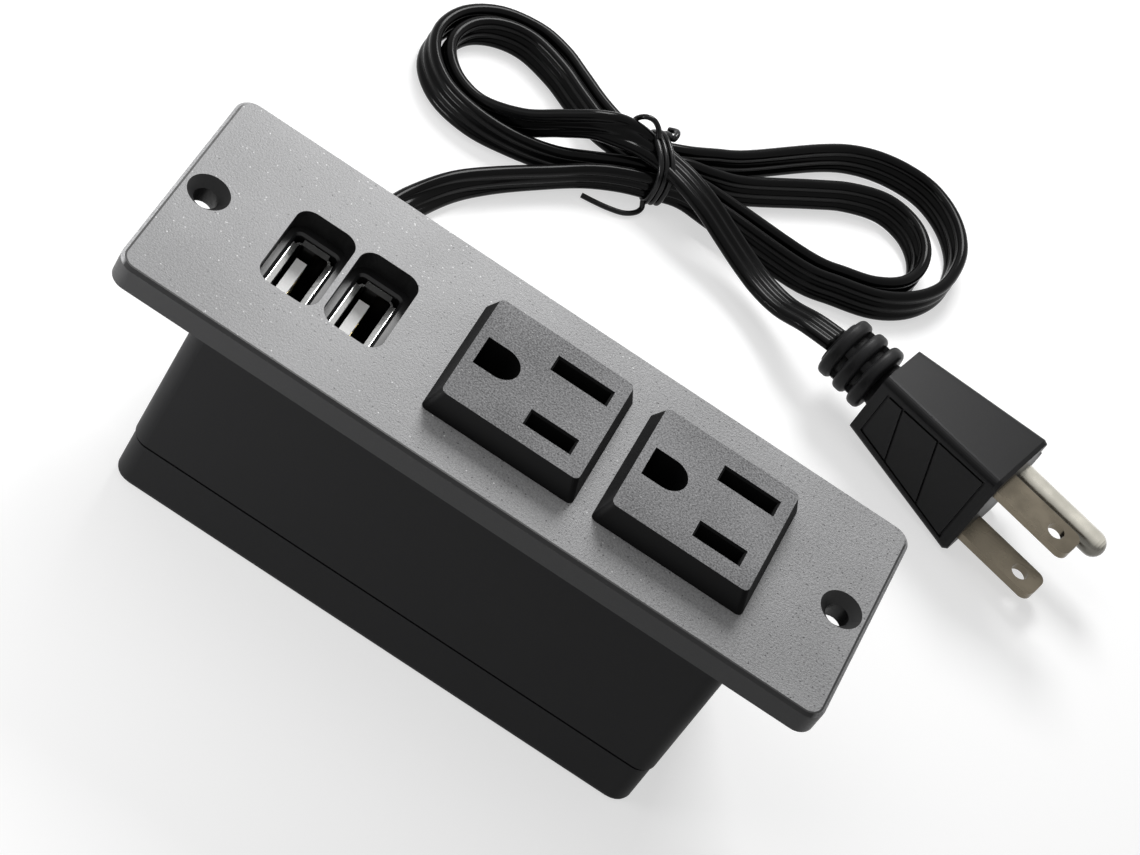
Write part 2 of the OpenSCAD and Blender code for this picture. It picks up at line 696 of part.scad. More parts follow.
// A lip of the mouth, bent outwards from a wall that lies out from the middle
module flare(out, len) {
    translate([out, len / 2, shell_height]) rotate([90, 0, 0]) linear_extrude(len)
        polygon([[-shell_sheet - 0.1, -flare_height], [0, -flare_height - shell_sheet],
            [flare_wid, -shell_sheet], [flare_wid, 0], [flare_wid - 0.1, 0],
            [-shell_sheet - 0.1, -flare_height + 0.05]]);
}

module usb_shell(n) {
    color([0.82, 0.82, 0.8]) translate([usb_x[n], 0, board_top]) difference() {
        union() {
            round_slab(shell_thk, shell_wid, 0.8, 0, shell_height - flare_height);
            for (a = [0, 180]) {
                rotate([0, 0, a]) flare(shell_thk / 2, flare_long);
                rotate([0, 0, a + 90]) flare(shell_wid / 2, flare_short);
            }
        }
        round_slab(shell_thk - 2 * shell_sheet, shell_wid - 2 * shell_sheet, 0.5, -1,
            shell_height + 1);
        // Spring windows in the broad walls
        for (sx = [-1, 1], sy = [-1, 1])
            translate([sx * shell_thk / 2, sy * shell_wid / 4, shell_height * 0.62])
                cube([3 * shell_sheet, 1.6, 4.4], center = true);
    }
}

module usb_tongue(n) {
    color([0.9, 0.9, 0.88]) translate([usb_x[n], 0, board_top]) difference() {
        union() {
            round_slab(shell_thk - 2 * shell_sheet - 2 * eps, shell_wid - 2 * shell_sheet - 2 * eps,
                0.5, 0, plug_seat_thk);
            block([-tongue_thk / 2 - 0.9, -shell_wid / 2 + 1.6, plug_seat_thk - eps],
                [tongue_thk / 2 - 0.9, shell_wid / 2 - 1.6, shell_height - tongue_drop]);
        }
        for (k = [0 : 3])
            translate([tongue_thk / 2 - 0.9 - 0.2, (k - 1.5) * contact_pitch - contact_wid / 2, 0])
                translate([0, 0, plug_seat_thk])
                    cube([0.3, contact_wid, shell_height - tongue_drop - plug_seat_thk - 1]);
    }
}

contact_pitch = 2.3;
contact_wid = 1.1;

// Four gilt strips let into each tongue
module usb_contacts() {
    color([0.85, 0.7, 0.3]) for (x = usb_x, k = [0 : 3])
        translate([x + tongue_thk / 2 - 0.9 - 0.2, (k - 1.5) * contact_pitch - contact_wid / 2,
            board_top + plug_seat_thk])
            cube([0.25, contact_wid, shell_height - tongue_drop - plug_seat_thk - 1]);
}

// Parts under the board hang from its underside
module under_board(x, y) {
    translate([x, y, board_bottom]) mirror([0, 0, 1]) children();
}

core_at = [-35.5, -7.8];
core_size = [13, 6, 10.6];           // outside of the ferrite core
core_limb = 3.2;                     // width of its middle limb
core_rim = 2.2;                      // width of its outer limbs and yokes
winding_wid = 11;
winding_gap = 0.2;

module transformer_core() {
    window_x = (core_size.x - core_limb) / 2 - core_rim;
    color([0.25, 0.25, 0.27]) under_board(core_at.x, core_at.y)
        translate([0, core_size.y / 2, core_size.z / 2]) rotate([90, 0, 0])
            linear_extrude(core_size.y) difference() {
                square([core_size.x, core_size.z], center = true);
                for (sx = [-1, 1]) translate([sx * (core_limb + window_x) / 2, 0])
                    square([window_x, core_size.z - 2 * core_rim], center = true);
            }
}

module transformer_winding() {
    color([0.85, 0.75, 0.3]) under_board(core_at.x, core_at.y)
        translate([0, 0, core_size.z / 2]) difference() {
            cube([core_size.x - 2 * core_rim - 2 * winding_gap, winding_wid,
                core_size.z - 2 * core_rim - 2 * winding_gap], center = true);
            cube([core_limb + 2 * winding_gap, core_size.y + 2 * winding_gap, core_size.z],
                center = true);
        }
}

// A can with a rolled edge and a groove near its foot, standing along +Z
module can(d, h) {
    rotate_extrude() polygon([[0, 0], [d / 2 - 0.3, 0], [d / 2, 0.3], [d / 2, 1.2],
        [d / 2 - 0.3, 1.6], [d / 2, 2], [d / 2, h - 0.3], [d / 2 - 0.3, h], [0, h]]);
}

module input_capacitor() {
    color([0.12, 0.2, 0.45]) under_board(-24.8, -14.6) translate([0, 0, 4])
        rotate([-90, 0, 0]) can(8, 13);
}

module output_capacitor() {
    color([0.15, 0.45, 0.25]) under_board(-23, 9) can(6.3, 11);
}

module bridge_rectifier() {
    color([0.13, 0.13, 0.14]) under_board(-25.5, 2.6) {
        block([-2.4, -1.9, 0.3], [2.4, 1.9, 2.6]);
        for (sx = [-1, 1], sy = [-1, 1])
            block([sx * 1.5 - 0.4, sy * 2.4 - 0.6, 0], [sx * 1.5 + 0.4, sy * 2.4 + 0.6, 0.4]);
    }
}

module control_chip() {
    color([0.13, 0.13, 0.14]) under_board(-38.5, 0.5) {
        block([-2.5, -1.9, 0.3], [2.5, 1.9, 1.8]);
        for (k = [0 : 3], sy = [-1, 1])
            block([(k - 1.5) * 1.27 - 0.2, sy * 2.4 - 0.6, 0],
                [(k - 1.5) * 1.27 + 0.2, sy * 2.4 + 0.6, 0.4]);
    }
}

module output_diode() {
    color([0.13, 0.13, 0.14]) under_board(-30.5, 5.5) {
        translate([0, 0, 1.5]) rotate([-90, 0, 0]) cylinder(d = 2.7, h = 5.2);
        for (y = [-1.2, 6.4]) {
            translate([0, y - 0.4, 0]) cylinder(d = 0.8, h = 1.9);
        }
        translate([0, -1.6, 1.5]) rotate([-90, 0, 0]) cylinder(d = 0.8, h = 8.1);
    }
}

module noise_choke() {
    color([0.35, 0.5, 0.3]) under_board(-37, 9.5)
        rotate_extrude() translate([3, 2.2]) round_rect(3, 4.4, 0.7);
}

module fuse() {
    color([0.85, 0.85, 0.8]) under_board(-43, -3.5) translate([0, 0, 1.9])
        rotate([-90, 0, 0]) cylinder(d = 3.6, h = 10);
}

// ---- Supply cord ----

// Moulded strain relief: a grooved neck in the seam and a ribbed, tapering boot
module cord_gland() {
    inner_face = inner_wid / 2;
    outer_face = box_wid / 2;
    rings = 5;
    ring_step = boot_len / rings;
    boot_d = gland_collar_d - 0.6;
    color([0.08, 0.08, 0.08]) translate([-cord_exit_x, 0, gland_z]) rotate([-90, 0, 0])
        difference() {
            rotate_extrude() polygon(concat(
                [[0, inner_face - collar_thk], [gland_collar_d / 2, inner_face - collar_thk],
                    [gland_collar_d / 2, inner_face], [gland_neck_d / 2, inner_face],
                    [gland_neck_d / 2, outer_face], [gland_collar_d / 2, outer_face],
                    [gland_collar_d / 2, outer_face + collar_thk]],
                [for (k = [0 : rings - 1]) each
                    let (r = (boot_d + (boot_end_d - boot_d) * k / rings) / 2,
                        y = outer_face + collar_thk + k * ring_step)
                    [[r, y], [r, y + ring_step * 0.65], [r - 0.8, y + ring_step * 0.65],
                        [r - 0.8, y + ring_step]]],
                [[0, boot_end_y]]));
        }
}

// Leads from the gland's inner face to the busbars and to the board
lead_start_y = inner_wid / 2 - collar_thk;
lead_low_z = 5.2;

module live_lead() {
    x = -cord_exit_x - 2;
    color([0.1, 0.1, 0.1]) lead([[x, lead_start_y, gland_z], [x, lead_start_y - 4, gland_z - 1],
        [x + 3, 4, 7], [x + 11, -4, lead_low_z], [x + 19, -blade_y, lead_low_z],
        [live_lead_x - 1.2, -blade_y, lead_low_z + 3], [live_lead_x, -blade_y, base_bottom - 7],
        [live_lead_x, -blade_y, bar_z]], lead_d);
}

module neutral_lead() {
    x = -cord_exit_x + 2;
    color([0.9, 0.9, 0.9]) lead([[x, lead_start_y, gland_z], [x, lead_start_y - 4, gland_z - 1],
        [x + 4, 8.5, 7], [x + 11, blade_y, lead_low_z], [x + 17, blade_y, lead_low_z + 1],
        [live_lead_x, blade_y, base_bottom - 8], [live_lead_x, blade_y, bar_z]], lead_d);
}

module ground_lead() {
    x = -cord_exit_x;
    color([0.1, 0.5, 0.2]) lead([[x, lead_start_y, gland_z], [x, lead_start_y - 4, gland_z - 2],
        [x + 4, 6, lead_low_z], [x + 13, 1, lead_low_z], [ground_lead_x - 10, 0, lead_low_z],
        [ground_lead_x - 1.5, 0, lead_low_z + 4], [ground_lead_x, 0, base_bottom - 6],
        [ground_lead_x, 0, bar_z]], lead_d);
}

// Two thin leads that feed the board from the live and neutral busbars
module charger_leads() {
    color([0.7, 0.1, 0.1]) for (sy = [-1, 1])
        lead([[live_lead_x + 5, sy * blade_y, base_bottom - 0.1],
            [live_lead_x + 4.6, sy * blade_y, base_bottom - 2.6],
            [live_lead_x + 1, sy * (blade_y + 2.6), base_bottom - 5],
            [board_x1 - 0.2, sy * (blade_y + 4), base_bottom - 4.4],
            [board_x1 - 1, sy * (blade_y + 4.4), board_bottom - 3.4],
            [board_x1 - 1.2, sy * (blade_y + 4.4), board_bottom]], 1.2);
}

function lie(p) = p.z + half_wid * sin(p[3]) + half_thk * abs(cos(p[3]));
route_points = [for (p = route) [p.x, p.y, lie(p)]];
route_rolls = [for (p = route) p[3]];

module power_cord() {
    color([0.06, 0.06, 0.06])
        skin(sweep_rings(route_points, route_rolls, flat_outline(half_wid, half_thk)));
}

// Outline of the tied bundle: four strands on edge, the last pass lying on top of them
module bundle_outline() {
    half = (3 * strand_pitch + cord_thk) / 2 + 0.3;
    shoulder_z = cord_wid + 1.7;
    r = 0.8;
    hull() for (side = [-1, 1]) {
        translate([side * (half - r), tie_wire_d + r]) circle(r);
        translate([side * (half - r), shoulder_z - r]) circle(r);
        translate([side * (half_wid + 0.3 - r), shoulder_z + cord_thk - r]) circle(r);
    }
}

// Wire tie: turns side by side round the strands
module cord_tie() {
    color([0.05, 0.05, 0.05]) translate([tie_at.x, tie_at.y, 0]) rotate([0, 0, tie_turn])
        for (k = [0 : tie_turns - 1])
            translate([(k - tie_turns / 2) * (tie_wire_d + 0.1), 0, 0])
                rotate([90, 0, 90]) linear_extrude(tie_wire_d) difference() {
                    offset(r = tie_wire_d, $fn = 16) bundle_outline($fn = 16);
                    bundle_outline($fn = 16);
                }
}

// ---- Plug ----

module in_plug() {
    translate(plug_at) rotate([0, 0, plug_turn]) children();
}

// A thin slice of the grip at u, from v0 to v1 and half_h up and down
module grip_slice(u, v0, v1, half_h, r) {
    translate([u, (v0 + v1) / 2, 0]) rotate([90, 0, 90])
        linear_extrude(eps) round_rect(v1 - v0, 2 * half_h, r, $fn = 24);
}

// Outline of the panel on the grip's flat side, drawn in by a margin
function panel_outline(margin) =
    let (h0 = grip_height / 2 - grip_slope - margin, h1 = grip_height / 2 - margin,
        u0 = margin, u1 = grip_len - margin)
    [[u0, -h0], [u1, -h1], [u1, h1], [u0, h0]];

// Frame and two slanting lines, sunk into the grip's flat side
module panel_lines() {
    slant = 3;
    difference() {
        polygon(panel_outline(panel_margin));
        polygon(panel_outline(panel_margin + panel_line));
    }
    for (u = [grip_len * 0.26, grip_len * 0.58])
        intersection() {
            polygon(panel_outline(panel_margin));
            polygon([[u + slant, -grip_height / 2], [u + slant + panel_line, -grip_height / 2],
                [u - slant + panel_line, grip_height / 2], [u - slant, grip_height / 2]]);
        }
}

module plug_body() {
    h = grip_height / 2;
    taper = atan((grip_v1 - grip_v0) / grip_len);
    color([0.07, 0.07, 0.07]) in_plug() difference() {
        union() {
            hull() {
                grip_slice(grip_u0, -grip_v0, 5.6, h - grip_slope, 1.5);
                grip_slice(grip_u1 - 0.8, -grip_v1, 8, h, 1.5);
                grip_slice(grip_u1 - eps, -grip_v1 + 0.4, 8, h - 0.4, 1.5);
            }
            // Lobe round the ground pin
            hull() {
                grip_slice(grip_u0 + grip_len * 0.32, 2, 6.2, h - 5.8, 2);
                grip_slice(grip_u0 + grip_len * 0.6, 2, 9.8, h - 5.2, 3);
                grip_slice(grip_u0 + grip_len * 0.85, 2, 11.5, h - 5, 3);
                grip_slice(grip_u1 - eps, 2, 11.6, h - 5, 3);
            }
        }
        for (sw = [-1, 1]) blade_socket(sw);
        translate([grip_u1 - socket_depth, pin_v, 0]) rotate([0, 90, 0])
            cylinder(d = pin_root_d + 2 * eps, h = socket_depth + 1);
        translate([grip_u0, -grip_v0, 0]) rotate([90, 0, -taper])
            translate([0, 0, -panel_depth]) linear_extrude(panel_depth + 1) panel_lines();
    }
}

module blade_socket(sw) {
    translate([grip_u1 - socket_depth, blade_v - blade_wid / 2 - eps,
        sw * blade_y - blade_thk / 2 - eps])
        cube([socket_depth + 1, blade_wid + 2 * eps, blade_thk + 2 * eps]);
}

module plug_relief() {
    step = rib_thk + rib_gap;
    color([0.07, 0.07, 0.07]) in_plug() {
        rotate([0, 90, 0]) rotate_extrude()
            polygon(concat([[0, 0], [relief_neck_d / 2, 0]],
                [for (k = [0 : relief_ribs - 1]) each
                    let (u = 0.4 + k * step, r = relief_rib_d / 2 + 0.2 * k)
                    [[relief_neck_d / 2, u], [r - 0.6, u], [r, u + 0.6], [r, u + rib_thk - 0.6],
                        [r - 0.6, u + rib_thk], [relief_neck_d / 2, u + rib_thk]]],
                [[relief_neck_d / 2 + 0.4, relief_len], [0, relief_len]]));
        for (a = [45 : 90 : 315])
            rotate([a, 0, 0]) translate([1, 0, -web_wid / 2])
                cube([(relief_ribs - 1) * step + 1, relief_rib_d / 2 - 0.7, web_wid]);
    }
}

module blade(sw) {
    tip = 1.8;                       // radius of the blade's two far corners
    color([0.78, 0.72, 0.6]) in_plug()
        translate([grip_u1, blade_v, sw * blade_y - blade_thk / 2]) difference() {
            linear_extrude(blade_thk) {
                translate([-socket_depth, -blade_wid / 2])
                    square([socket_depth + blade_len - tip, blade_wid]);
                translate([blade_len - tip - eps, tip - blade_wid / 2])
                    square([tip + eps, blade_wid - 2 * tip]);
                for (sv = [-1, 1])
                    translate([blade_len - tip, sv * (blade_wid / 2 - tip)]) circle(tip);
            }
            translate([blade_len - 4.2, 0, -1]) cylinder(d = 3.2, h = blade_thk + 2);
        }
}

module live_blade() {
    blade(1);
}

module neutral_blade() {
    blade(-1);
}

module ground_pin() {
    r = pin_d / 2;
    color([0.8, 0.74, 0.6]) in_plug() translate([grip_u1 - socket_depth, pin_v, 0])
        rotate([0, 90, 0]) rotate_extrude()
            polygon(concat([[0, 0], [pin_root_d / 2, 0], [pin_root_d / 2, socket_depth],
                [r, socket_depth]],
                [for (a = [0 : 15 : 75]) [r * cos(a), socket_depth + pin_len - r + r * sin(a)]],
                [[0, socket_depth + pin_len]]));
}

face_plate();
outlet_face(0);  // outlet_face_1
outlet_face(1);  // outlet_face_2
upper_housing();
back_cover();
case_screws();
contact_base();
base_screws();
busbar(-blade_y);  // live_busbar
busbar(blade_y);  // neutral_busbar
ground_busbar();
usb_board();
board_screws();
usb_bezel();
usb_shell(0);  // usb_shell_1
usb_shell(1);  // usb_shell_2
usb_tongue(0);  // usb_tongue_1
usb_tongue(1);  // usb_tongue_2
usb_contacts();
transformer_core();
transformer_winding();
input_capacitor();
output_capacitor();
bridge_rectifier();
control_chip();
output_diode();
noise_choke();
fuse();
cord_gland();
live_lead();
neutral_lead();
ground_lead();
charger_leads();
power_cord();
cord_tie();
plug_body();
plug_relief();
live_blade();
neutral_blade();
ground_pin();
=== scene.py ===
"""The looks of a recessed power strip: two grounded outlets, two charging ports and a tied-up cord.

The rigid pieces are the frame's own solids, which get their materials here. The cord, its wire tie
and the plug's ribbed relief are made here as finer meshes. Lengths are in metres."""
import math

import bpy
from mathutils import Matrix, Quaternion, Vector


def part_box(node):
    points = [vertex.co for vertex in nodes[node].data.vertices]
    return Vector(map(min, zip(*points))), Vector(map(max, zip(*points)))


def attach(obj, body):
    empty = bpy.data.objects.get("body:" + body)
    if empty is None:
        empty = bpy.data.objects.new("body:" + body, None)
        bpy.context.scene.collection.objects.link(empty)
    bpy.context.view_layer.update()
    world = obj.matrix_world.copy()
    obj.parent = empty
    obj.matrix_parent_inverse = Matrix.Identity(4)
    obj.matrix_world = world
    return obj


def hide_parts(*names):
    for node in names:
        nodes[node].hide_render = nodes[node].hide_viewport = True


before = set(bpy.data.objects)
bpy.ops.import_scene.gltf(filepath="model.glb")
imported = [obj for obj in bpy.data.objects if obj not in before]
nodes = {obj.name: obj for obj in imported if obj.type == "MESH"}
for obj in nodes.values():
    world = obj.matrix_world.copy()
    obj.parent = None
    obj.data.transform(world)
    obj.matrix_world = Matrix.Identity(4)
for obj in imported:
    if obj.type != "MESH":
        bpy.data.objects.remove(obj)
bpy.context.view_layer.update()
bpy.context.scene.view_settings.view_transform = "Standard"

MM = 0.001
UP = Vector((0, 0, 1))
CORD_WIDTH = 6.0 * MM
CORD_THICKNESS = 2.2 * MM
PLUG_TURN = math.radians(-15)  # the plug's direction in plan, from the x axis
TIE_TURN = math.radians(36)    # the bundle's direction under the tie
PLATE_CORNER = 3 * MM          # corner radius of the face plate
PLATE_BEVEL = 0.5 * MM         # bevel round its upper face

# The pinhole camera, fitted to the strip's edges in the photo
CAMERA_PLACE = Vector((-9.69, -408.53, 463.97)) * MM
CAMERA_AIM = Vector((7.74, 0.5, 44)) * MM
CAMERA_ROLL = math.radians(35.17)
CAMERA_LENS = 121.94   # both in millimetres
CAMERA_SENSOR = 36

# Name, place, size, power in watts, and the point that the lamp faces
LAMPS = [
    ("back_softbox", (-0.035, 0.26, 0.22), (0.12, 0.12), 0.87, (0, 0, 0.04)),
    ("top_softbox", (-0.18, 0.10, 0.42), (0.3, 0.3), 0.38, (-0.02, 0, 0.04)),
    ("left_fill", (-0.19, -0.12, 0.025), (0.12, 0.03), 0.62, (-0.06, 0, 0.02)),
]
WORLD_LIGHT = 0.22     # strength of the room's light on the object
FLOOR_HALF = 4.0
FLOOR_Z = -0.0001      # just below the object's foot
FLOOR_WHITE = 0.86
FLOOR_GLOW = 1.4       # strength of the white added to the floor where it is seen
FLOOR_SHARE = 0.42     # and the share of it, so that the rest keeps the shadow

# The cord's route: x, y and height of its lowest edge in metres, and roll in degrees
ROUTE = [
    # From the gland down to the floor
    (-0.0350, 0.0424, 0.0093, 0), (-0.0350, 0.0470, 0.0089, 0), (-0.0352, 0.0530, 0.0058, 0),
    (-0.0351, 0.0584, 0.0022, 10), (-0.0337, 0.0646, 0.0002, 35), (-0.0298, 0.0726, 0.0001, 60),
    (-0.0244, 0.0800, 0.0001, 80), (-0.0174, 0.0880, 0.0001, 90), (-0.0114, 0.0938, 0.0006, 90),
    # First pass through the tie
    (-0.0057, 0.0975, 0.0012, 90), (-0.0004, 0.1003, 0.0012, 90), (0.0050, 0.1027, 0.0012, 90),
    # Outer turn of the right loop
    (0.0119, 0.1033, 0.0006, 75), (0.0291, 0.1030, 0.0001, 70), (0.0371, 0.1051, 0.0001, 70),
    (0.0443, 0.1079, 0.0001, 70), (0.0496, 0.1125, 0.0001, 75), (0.0530, 0.1186, 0.0001, 85),
    (0.0540, 0.1250, 0.0001, 90), (0.0529, 0.1316, 0.0001, 100), (0.0489, 0.1374, 0.0001, 110),
    (0.0428, 0.1409, 0.0001, 115), (0.0356, 0.1409, 0.0001, 115), (0.0286, 0.1382, 0.0001, 110),
    (0.0222, 0.1328, 0.0001, 105), (0.0112, 0.1199, 0.0001, 105), (0.0058, 0.1148, 0.0006, 100),
    # Second pass
    (0.0009, 0.1108, 0.0012, 90), (-0.0044, 0.1079, 0.0012, 90), (-0.0102, 0.1076, 0.0012, 90),
    # Outer turn of the left loop
    (-0.0159, 0.1099, 0.0006, 95), (-0.0219, 0.1136, 0.0001, 100), (-0.0271, 0.1161, 0.0001, 110),
    (-0.0330, 0.1172, 0.0001, 115), (-0.0402, 0.1153, 0.0001, 110), (-0.0456, 0.1102, 0.0001, 100),
    (-0.0476, 0.1033, 0.0001, 90), (-0.0458, 0.0964, 0.0001, 75), (-0.0406, 0.0914, 0.0001, 70),
    (-0.0334, 0.0896, 0.0001, 75), (-0.0259, 0.0905, 0.0001, 90), (-0.0184, 0.0930, 0.0001, 90),
    (-0.0122, 0.0967, 0.0006, 90),
    # Third pass
    (-0.0070, 0.0999, 0.0012, 90), (-0.0017, 0.1028, 0.0012, 90), (0.0037, 0.1053, 0.0012, 90),
    # Inner turn of the right loop
    (0.0109, 0.1060, 0.0006, 75), (0.0294, 0.1060, 0.0001, 70), (0.0371, 0.1080, 0.0001, 70),
    (0.0425, 0.1103, 0.0001, 70), (0.0466, 0.1145, 0.0001, 80), (0.0482, 0.1199, 0.0001, 90),
    (0.0470, 0.1255, 0.0001, 105), (0.0432, 0.1297, 0.0001, 115), (0.0372, 0.1310, 0.0001, 115),
    (0.0306, 0.1282, 0.0001, 110), (0.0246, 0.1234, 0.0001, 110), (0.0134, 0.1136, 0.0001, 110),
    (0.0078, 0.1103, 0.0006, 100),
    # Fourth pass
    (0.0022, 0.1081, 0.0012, 90), (-0.0031, 0.1053, 0.0012, 90), (-0.0089, 0.1047, 0.0012, 90),
    # Inner turn of the left loop
    (-0.0146, 0.1060, 0.0006, 95), (-0.0204, 0.1091, 0.0001, 105), (-0.0261, 0.1122, 0.0001, 110),
    (-0.0330, 0.1142, 0.0001, 115), (-0.0388, 0.1128, 0.0001, 110), (-0.0430, 0.1089, 0.0001, 100),
    (-0.0446, 0.1033, 0.0001, 90), (-0.0432, 0.0979, 0.0001, 75), (-0.0391, 0.0940, 0.0001, 70),
    (-0.0334, 0.0926, 0.0004, 75),
    # Fifth pass, over the others
    (-0.0262, 0.0936, 0.0026, 85), (-0.0200, 0.0963, 0.0054, 85), (-0.0144, 0.0989, 0.0074, 75),
    (-0.0087, 0.1016, 0.0078, 30), (-0.0024, 0.1030, 0.0076, 0),
    # On to the plug
    (0.0036, 0.1016, 0.0076, 0), (0.0092, 0.0997, 0.0070, 0), (0.0148, 0.0978, 0.0055, 0),
    (0.0202, 0.0956, 0.0044, 0), (0.0254, 0.0932, 0.0041, 0), (0.0304, 0.0907, 0.0052, 0),
    (0.0355, 0.0883, 0.0078, 0), (0.0410, 0.0865, 0.0092, 0),
]

# ---------------------------------------------------------------- shader nodes
# A Mix node's two inputs and its output, for each kind of data
MIX_SOCKETS = {"RGBA": (6, 7, 2), "VECTOR": (4, 5, 1)}
NOISE_LOW, NOISE_HIGH = 0.3, 0.7  # nearly all of a noise lies between these


def node(owner, kind, **values):
    """A shader node in a material or a world, with its inputs or settings given by name."""
    made = owner.node_tree.nodes.new(kind)
    for key, value in values.items():
        if key in made.inputs:
            made.inputs[key].default_value = value
        else:
            setattr(made, key, value)
    return made


def feed(owner, source, target):
    """Links a socket to an input, or gives the input a value."""
    if isinstance(source, bpy.types.NodeSocket):
        owner.node_tree.links.new(source, target)
    else:
        target.default_value = source


def feeder(target):
    """The socket that is linked to an input."""
    return target.links[0].from_socket


def maths(owner, operation, *terms):
    """One step of arithmetic on sockets and numbers."""
    made = node(owner, "ShaderNodeMath", operation=operation)
    for term, target in zip(terms, made.inputs):
        feed(owner, term, target)
    return made.outputs[0]


def vector_maths(mat, operation, *terms):
    """One step of arithmetic on vectors; LENGTH gives a number."""
    made = node(mat, "ShaderNodeVectorMath", operation=operation)
    for term, target in zip(terms, made.inputs):
        feed(mat, term, target)
    return made.outputs["Value" if operation == "LENGTH" else "Vector"]


def mixed(mat, share, first, second, data_type="RGBA", blend_type="MIX"):
    """From first to second as share goes from 0 to 1."""
    made = node(mat, "ShaderNodeMix", data_type=data_type, blend_type=blend_type)
    from_first, from_second, result = MIX_SOCKETS[data_type]
    feed(mat, share, made.inputs[0])
    feed(mat, first, made.inputs[from_first])
    feed(mat, second, made.inputs[from_second])
    return made.outputs[result]


def mixed_shader(owner, share, first, second):
    made = node(owner, "ShaderNodeMixShader")
    feed(owner, share, made.inputs["Fac"])
    feed(owner, first.outputs[0], made.inputs[1])
    feed(owner, second.outputs[0], made.inputs[2])
    return made.outputs[0]


def remap(mat, source, low, high, to_low, to_high):
    """Takes low..high to to_low..to_high, and stays at the ends beyond them."""
    made = node(mat, "ShaderNodeMapRange")
    feed(mat, source, made.inputs["Value"])
    made.inputs["From Min"].default_value = low
    made.inputs["From Max"].default_value = high
    made.inputs["To Min"].default_value = to_low
    made.inputs["To Max"].default_value = to_high
    return made.outputs["Result"]


def axes(mat, vector):
    """A vector's X, Y and Z as sockets."""
    made = node(mat, "ShaderNodeSeparateXYZ")
    feed(mat, vector, made.inputs[0])
    return made.outputs


def surface(mat, what):
    """The Position or the Normal of the surface, in the world."""
    return node(mat, "ShaderNodeNewGeometry").outputs[what]


def coordinates(mat, stretch=(1, 1, 1)):
    """Object coordinates in metres, stretched for a directional grain."""
    mapping = node(mat, "ShaderNodeMapping", Scale=stretch)
    feed(mat, node(mat, "ShaderNodeTexCoord").outputs["Object"], mapping.inputs["Vector"])
    return mapping.outputs["Vector"]


def noise(mat, size, detail=2.0, rough=0.5, stretch=(1, 1, 1)):
    """Noise whose blotches are about that size in metres."""
    made = node(mat, "ShaderNodeTexNoise", Scale=1 / size, Detail=detail, Roughness=rough)
    feed(mat, coordinates(mat, stretch), made.inputs["Vector"])
    return made.outputs["Fac"]


# ---------------------------------------------------------------- materials
def plain(name, colour, roughness, metallic=0.0, specular=0.5):
    """A new material with the values that are the same all over it."""
    mat = bpy.data.materials.new(name)
    mat.use_nodes = True
    inputs = shader_of(mat).inputs
    inputs["Base Color"].default_value = (*colour, 1)
    inputs["Roughness"].default_value = roughness
    inputs["Metallic"].default_value = metallic
    inputs["Specular IOR Level"].default_value = specular
    return mat


def shader_of(mat):
    return mat.node_tree.nodes["Principled BSDF"]


def base_colour(mat):
    return shader_of(mat).inputs["Base Color"]


def scaled(colour, factor):
    """A colour made darker or lighter, with its alpha."""
    return (*(min(1.0, c * factor) for c in colour), 1)


def tint(mat, source, colour, dark, light):
    """Base colour from dark to light times the colour, with source."""
    feed(mat, mixed(mat, source, scaled(colour, dark), scaled(colour, light)), base_colour(mat))


def rough(mat, source, smooth, dull):
    """Roughness from smooth to dull, with a noise."""
    target = shader_of(mat).inputs["Roughness"]
    feed(mat, remap(mat, source, NOISE_LOW, NOISE_HIGH, smooth, dull), target)


def relief(mat, heights, strength=1.0):
    """Bump from (source, depth in metres) pairs, coarse first; strength is a number or a socket."""
    last = None
    for source, depth in heights:
        bump = node(mat, "ShaderNodeBump", Distance=depth)
        feed(mat, strength, bump.inputs["Strength"])
        feed(mat, source, bump.inputs["Height"])
        if last is not None:
            feed(mat, last, bump.inputs["Normal"])
        last = bump.outputs["Normal"]
    feed(mat, last, shader_of(mat).inputs["Normal"])


def moulded(name, colour, roughness, grain, depth, contrast=0.12, specular=0.4):
    """Moulded plastic with a fine spark-eroded grain and faint handling marks."""
    blotch_size = 14 * MM
    blotch_share, grain_share = 0.35, 0.65
    smoother, duller = 0.05, 0.06
    mat = plain(name, colour, roughness, specular=specular)
    blotches = noise(mat, blotch_size, detail=3)
    fine = noise(mat, grain, detail=3, rough=0.6)
    grains = remap(mat, fine, 0, 1, 0, grain_share)
    both = maths(mat, "MULTIPLY_ADD", blotches, blotch_share, grains)
    tint(mat, remap(mat, both, NOISE_LOW, NOISE_HIGH, 0, 1), colour, 1 - contrast, 1 + contrast)
    rough(mat, blotches, roughness - smoother, roughness + duller)
    relief(mat, [(fine, depth)])
    return mat


